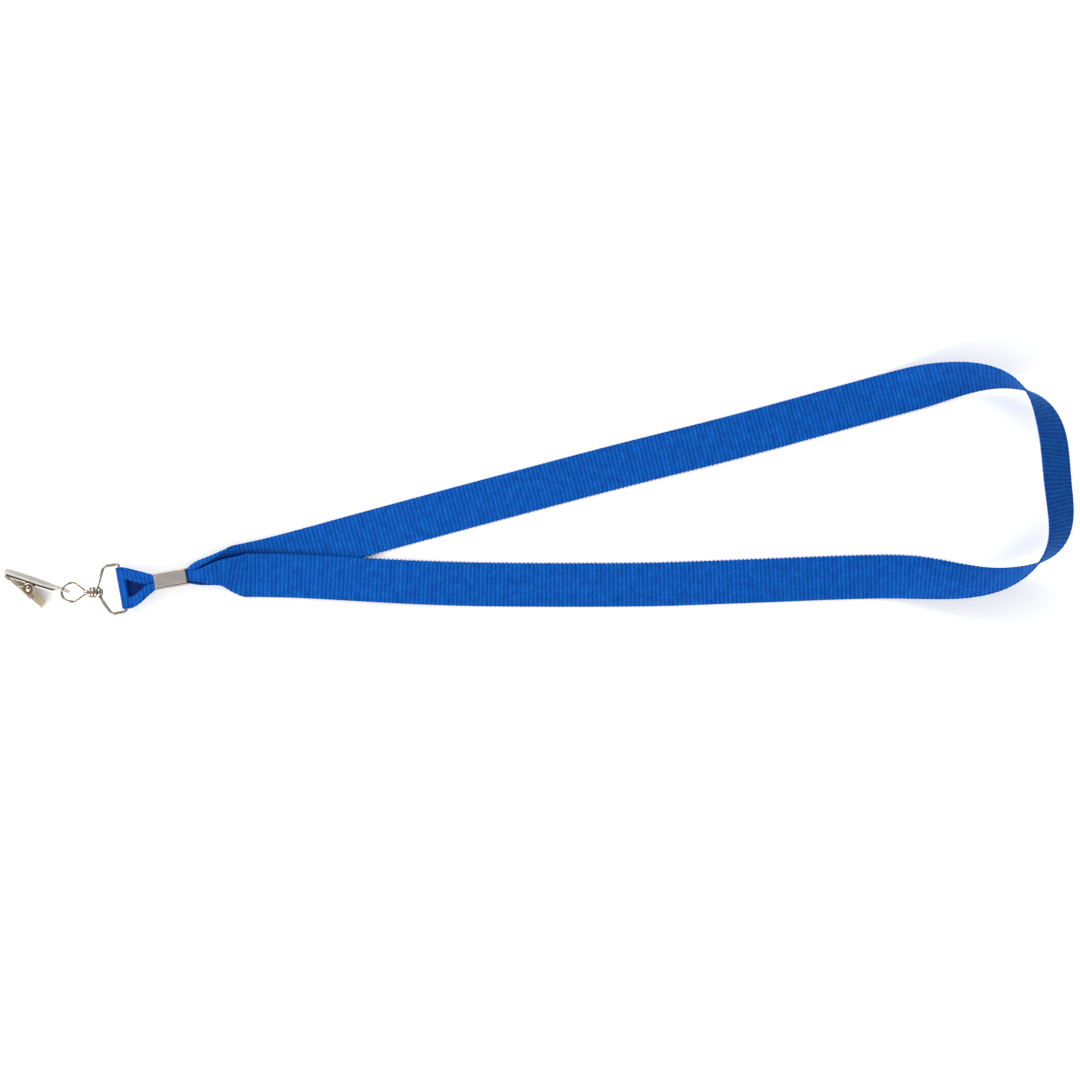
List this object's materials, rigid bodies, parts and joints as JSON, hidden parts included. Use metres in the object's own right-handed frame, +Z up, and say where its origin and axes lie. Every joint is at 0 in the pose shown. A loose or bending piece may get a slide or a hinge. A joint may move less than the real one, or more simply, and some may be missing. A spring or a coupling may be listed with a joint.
{
  "type": "neck lanyard with swivel clip",
  "caption": "Blue webbing neck lanyard gathered in a metal crimp, with a wire ring, a swivel eye and a sprung lever clip, lying flat with the end of its loop arched up",
  "frame": {"origin": "under the middle of the whole object, on the surface it lies on", "axes": "+X from the clip to the end of the neck loop, +Z up from the surface, +Y completes the right-handed set"},
  "size_m": [0.4902, 0.116, 0.0295],
  "materials": {
    "webbing": "ribbed polyester webbing, royal blue",
    "crimp_steel": "nickel-plated steel, satin",
    "ring_wire": "nickel-plated wire, bright",
    "eye_wire": "nickel-plated wire, bright",
    "washer_steel": "nickel-plated steel, bright",
    "jaw_steel": "nickel-plated sheet steel, bright",
    "lever_steel": "nickel-plated sheet steel, bright, creamy inside",
    "pin_steel": "nickel-plated steel, bright",
    "spring_wire": "spring steel wire"
  },
  "bodies": {
    "neck_strap": {"strap": "webbing", "crimp": "crimp_steel"},
    "ring": {"strap_ring": "ring_wire"},
    "eye": {"swivel_eye": "eye_wire", "swivel_washer": "washer_steel"},
    "clip": {"upper_jaw": "jaw_steel", "pivot_pin": "pin_steel", "torsion_spring": "spring_wire"},
    "lever": {"lower_jaw": "lever_steel"}
  },
  "joints": [
    {"name": "ring_swing", "type": "hinge", "parent": "neck_strap", "child": "ring", "pos_m": [-0.18986, -0.04529, 0.00335], "axis": [0.1736, -0.9848, 0], "range_deg": [-100, 100]},
    {"name": "eye_swivel", "type": "hinge", "parent": "ring", "child": "eye", "pos_m": [-0.20188, -0.04741, 0.00484], "axis": [-0.9929, 0.0013, 0.119], "continuous": true},
    {"name": "clip_swing", "type": "hinge", "parent": "eye", "child": "clip", "pos_m": [-0.21713, -0.04621, 0.00664], "axis": [-0.2725, -0.9607, 0.053], "range_deg": [-50, 50]},
    {"name": "jaw_open", "type": "hinge", "parent": "clip", "child": "lever", "pos_m": [-0.2317, -0.0447, 0.00579], "axis": [-0.0821, -0.2454, 0.9659], "range_deg": [0, 40], "stiffness_Nm_per_rad": 0.05, "springref_deg": -20.05, "deforming": ["torsion_spring"]}
  ]
}
